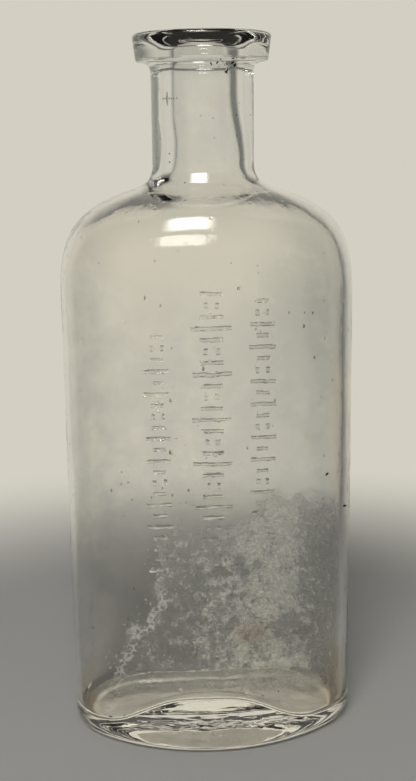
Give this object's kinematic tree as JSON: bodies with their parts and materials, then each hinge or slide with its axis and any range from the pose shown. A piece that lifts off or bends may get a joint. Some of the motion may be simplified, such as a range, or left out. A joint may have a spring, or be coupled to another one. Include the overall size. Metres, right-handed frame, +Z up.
{
  "type": "medicine bottle",
  "caption": "Clear mouth-blown glass medicine bottle, oval with a rounded front, flat back panel, round shoulders, thick neck and flanged tooled lip.",
  "frame": {"origin": "on the resting plane at the middle of the oval, 0.8 mm beside the hand-set neck's axis", "axes": "+Z up, -Y out of the rounded front, +Y out of the flat back panel, +X along the oval's long side"},
  "size_m": [0.075, 0.046, 0.18],
  "materials": {
    "glass": "clear, slightly grey, with seeds and faint ripples",
    "residue": "thin dried grey haze"
  },
  "bodies": {
    "root": {"base": "glass", "body": "glass", "shoulder": "glass", "neck": "glass", "lip": "glass", "panel_marks": "glass", "residue_film": "residue"}
  },
  "joints": []
}
